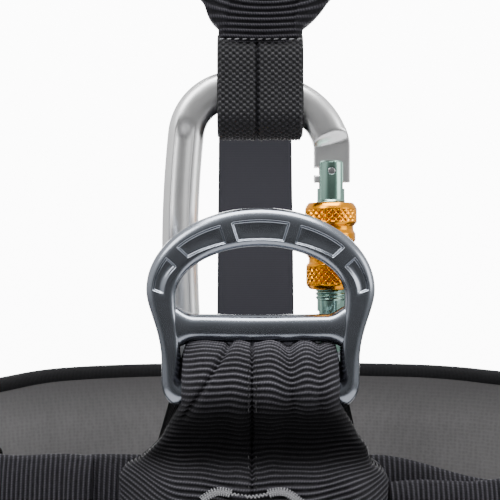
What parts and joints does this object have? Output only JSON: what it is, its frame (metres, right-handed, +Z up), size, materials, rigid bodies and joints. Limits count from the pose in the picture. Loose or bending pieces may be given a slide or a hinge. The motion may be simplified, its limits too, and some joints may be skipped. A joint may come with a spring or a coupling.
{
  "type": "tree climbing saddle",
  "caption": "Full-body climbing saddle: padded waist belt, leg loops and shoulder straps, forged belly ring, screw-lock carabiner link, side and dorsal rings.",
  "frame": {"origin": "centre of the waist opening at the belt's mid height", "axes": "+Z up as worn, -Y the wearer's front, +X the wearer's left, +Y the wearer's back"},
  "size_m": [0.3978, 0.4156, 0.7004],
  "materials": {
    "lining": "matt knitted spacer lining, dark grey",
    "webbing": "black ribbed polyamide webbing",
    "strap": "smooth dark grey webbing",
    "elastic": "fine-ribbed elastic tape",
    "wear_sleeve": "coarse basket weave, slightly shiny",
    "buckle": "satin grey",
    "steel": "polished",
    "forged_ring": "satin, tumbled",
    "carabiner": "polished",
    "green_gate": "anodised, satin",
    "gold_sleeve": "anodised, knurled",
    "tube": "flexible tube",
    "plate": "fine grain"
  },
  "bodies": {
    "harness": {"waist_pad": "lining", "waist_webbing": "webbing", "waist_tail_left": "webbing", "waist_tail_right": "webbing", "waist_keeper_left": "elastic", "waist_keeper_right": "elastic", "waist_frame_left": "buckle", "waist_frame_right": "buckle", "ventral_bridge": "webbing", "link_loop": "webbing", "chest_sleeve": "wear_sleeve", "chest_webbing": "webbing", "chest_yoke": "webbing", "shoulder_strap_left": "webbing", "shoulder_strap_right": "webbing", "shoulder_pad_left": "lining", "shoulder_pad_right": "lining", "shoulder_frame_left": "buckle", "shoulder_frame_right": "buckle", "dorsal_strap": "strap", "dorsal_plate": "plate", "dorsal_tab": "webbing", "side_tab_left": "webbing", "side_tab_right": "webbing", "leg_link_left": "webbing", "leg_link_right": "webbing", "rear_riser_left": "elastic", "rear_riser_right": "elastic"},
    "ventral_ring": {"ventral_ring": "forged_ring"},
    "carabiner": {"carabiner_body": "carabiner", "gate_hinge_pin": "steel"},
    "gate": {"gate": "green_gate", "gate_latch_pin": "steel", "gate_plunger": "steel", "gate_spring": "steel"},
    "sleeve_ring": {"sleeve_snap_ring": "steel"},
    "sleeve": {"lock_sleeve": "gold_sleeve"},
    "dorsal_ring": {"dorsal_ring": "forged_ring"},
    "side_ring_left": {"side_ring_left": "forged_ring"},
    "leg_left": {"leg_pad_left": "lining", "leg_webbing_left": "webbing", "leg_frame_left": "buckle"},
    "waist_bar_left": {"waist_bar_left": "steel"},
    "leg_bar_left": {"leg_bar_left": "steel"},
    "shoulder_bar_left": {"shoulder_bar_left": "steel"},
    "gear_loop_front_left": {"gear_loop_front_left": "tube"},
    "gear_loop_rear_left": {"gear_loop_rear_left": "tube"},
    "side_ring_right": {"side_ring_right": "forged_ring"},
    "leg_right": {"leg_pad_right": "lining", "leg_webbing_right": "webbing", "leg_frame_right": "buckle"},
    "waist_bar_right": {"waist_bar_right": "steel"},
    "leg_bar_right": {"leg_bar_right": "steel"},
    "shoulder_bar_right": {"shoulder_bar_right": "steel"},
    "gear_loop_front_right": {"gear_loop_front_right": "tube"},
    "gear_loop_rear_right": {"gear_loop_rear_right": "tube"}
  },
  "joints": [
    {"name": "ventral_ring_swing", "type": "hinge", "parent": "harness", "child": "ventral_ring", "pos_m": [0, -0.172, 0.0587], "axis": [1, 0, 0], "range_deg": [0, 95]},
    {"name": "carabiner_swing", "type": "hinge", "parent": "harness", "child": "carabiner", "pos_m": [0, -0.155, 0.1533], "axis": [1, 0, 0], "range_deg": [0, 6], "deforming": ["link_loop"]},
    {"name": "gate_hinge", "type": "hinge", "parent": "carabiner", "child": "gate", "pos_m": [0.0226, -0.155, 0.0736], "axis": [0, -1, 0], "range_deg": [0, 24], "stiffness_Nm_per_rad": 0.12, "springref_deg": -34.38},
    {"name": "sleeve_travel", "type": "slide", "parent": "gate", "child": "sleeve_ring", "axis": [0, 0, 1], "range_m": [0, 0.011]},
    {"name": "sleeve_screw", "type": "hinge", "parent": "sleeve_ring", "child": "sleeve", "pos_m": [0.0226, -0.155, 0.103], "axis": [0, 0, 1], "range_deg": [0, 1584]},
    {"name": "side_ring_swing_left", "type": "hinge", "parent": "harness", "child": "side_ring_left", "pos_m": [0.18364, -0.06143, 0.00537], "axis": [0, 0.0872, 0.9962], "range_deg": [-20, 75]},
    {"name": "side_ring_swing_right", "type": "hinge", "parent": "harness", "child": "side_ring_right", "pos_m": [-0.18364, -0.06143, 0.00537], "axis": [0, -0.0872, -0.9962], "range_deg": [-20, 75]},
    {"name": "dorsal_ring_swing", "type": "hinge", "parent": "harness", "child": "dorsal_ring", "pos_m": [0, 0.2225, 0.352], "axis": [1, 0, 0], "range_deg": [-3, 120]},
    {"name": "leg_swing_left", "type": "hinge", "parent": "harness", "child": "leg_left", "pos_m": [0.103, -0.01, -0.06], "axis": [1, 0, 0], "range_deg": [-35, 8], "deforming": ["leg_link_left", "rear_riser_left"]},
    {"name": "waist_bar_slide_left", "type": "slide", "parent": "harness", "child": "waist_bar_left", "axis": [0.8388, 0.5423, -0.0474], "range_m": [0, 0.006]},
    {"name": "leg_bar_slide_left", "type": "slide", "parent": "leg_left", "child": "leg_bar_left", "axis": [0.8175, 0.5578, 0.1432], "range_m": [0, 0.006]},
    {"name": "shoulder_bar_slide_left", "type": "slide", "parent": "harness", "child": "shoulder_bar_left", "axis": [0.2906, 0.2545, 0.9224], "range_m": [0, 0.006]},
    {"name": "gear_loop_swing_front_left", "type": "hinge", "parent": "harness", "child": "gear_loop_front_left", "pos_m": [0.19148, 0.00283, -0.03036], "axis": [0.3694, -0.9257, 0.081], "range_deg": [0, 60]},
    {"name": "gear_loop_swing_rear_left", "type": "hinge", "parent": "harness", "child": "gear_loop_rear_left", "pos_m": [0.14677, 0.09766, -0.03866], "axis": [0.8757, -0.481, 0.0421], "range_deg": [0, 60]},
    {"name": "leg_swing_right", "type": "hinge", "parent": "harness", "child": "leg_right", "pos_m": [-0.103, -0.01, -0.06], "axis": [1, 0, 0], "range_deg": [-35, 8], "deforming": ["leg_link_right", "rear_riser_right"]},
    {"name": "waist_bar_slide_right", "type": "slide", "parent": "harness", "child": "waist_bar_right", "axis": [-0.8388, 0.5423, -0.0474], "range_m": [0, 0.006]},
    {"name": "leg_bar_slide_right", "type": "slide", "parent": "leg_right", "child": "leg_bar_right", "axis": [-0.8175, 0.5578, 0.1432], "range_m": [0, 0.006]},
    {"name": "shoulder_bar_slide_right", "type": "slide", "parent": "harness", "child": "shoulder_bar_right", "axis": [-0.2906, 0.2545, 0.9224], "range_m": [0, 0.006]},
    {"name": "gear_loop_swing_front_right", "type": "hinge", "parent": "harness", "child": "gear_loop_front_right", "pos_m": [-0.19148, 0.00283, -0.03036], "axis": [0.3694, 0.9257, -0.081], "range_deg": [0, 60]},
    {"name": "gear_loop_swing_rear_right", "type": "hinge", "parent": "harness", "child": "gear_loop_rear_right", "pos_m": [-0.14677, 0.09766, -0.03866], "axis": [0.8757, 0.481, -0.0421], "range_deg": [0, 60]}
  ],
  "couplings": [
    {"joint": "sleeve_screw", "follows": "sleeve_travel", "rad_per_m": 2513.3}
  ]
}
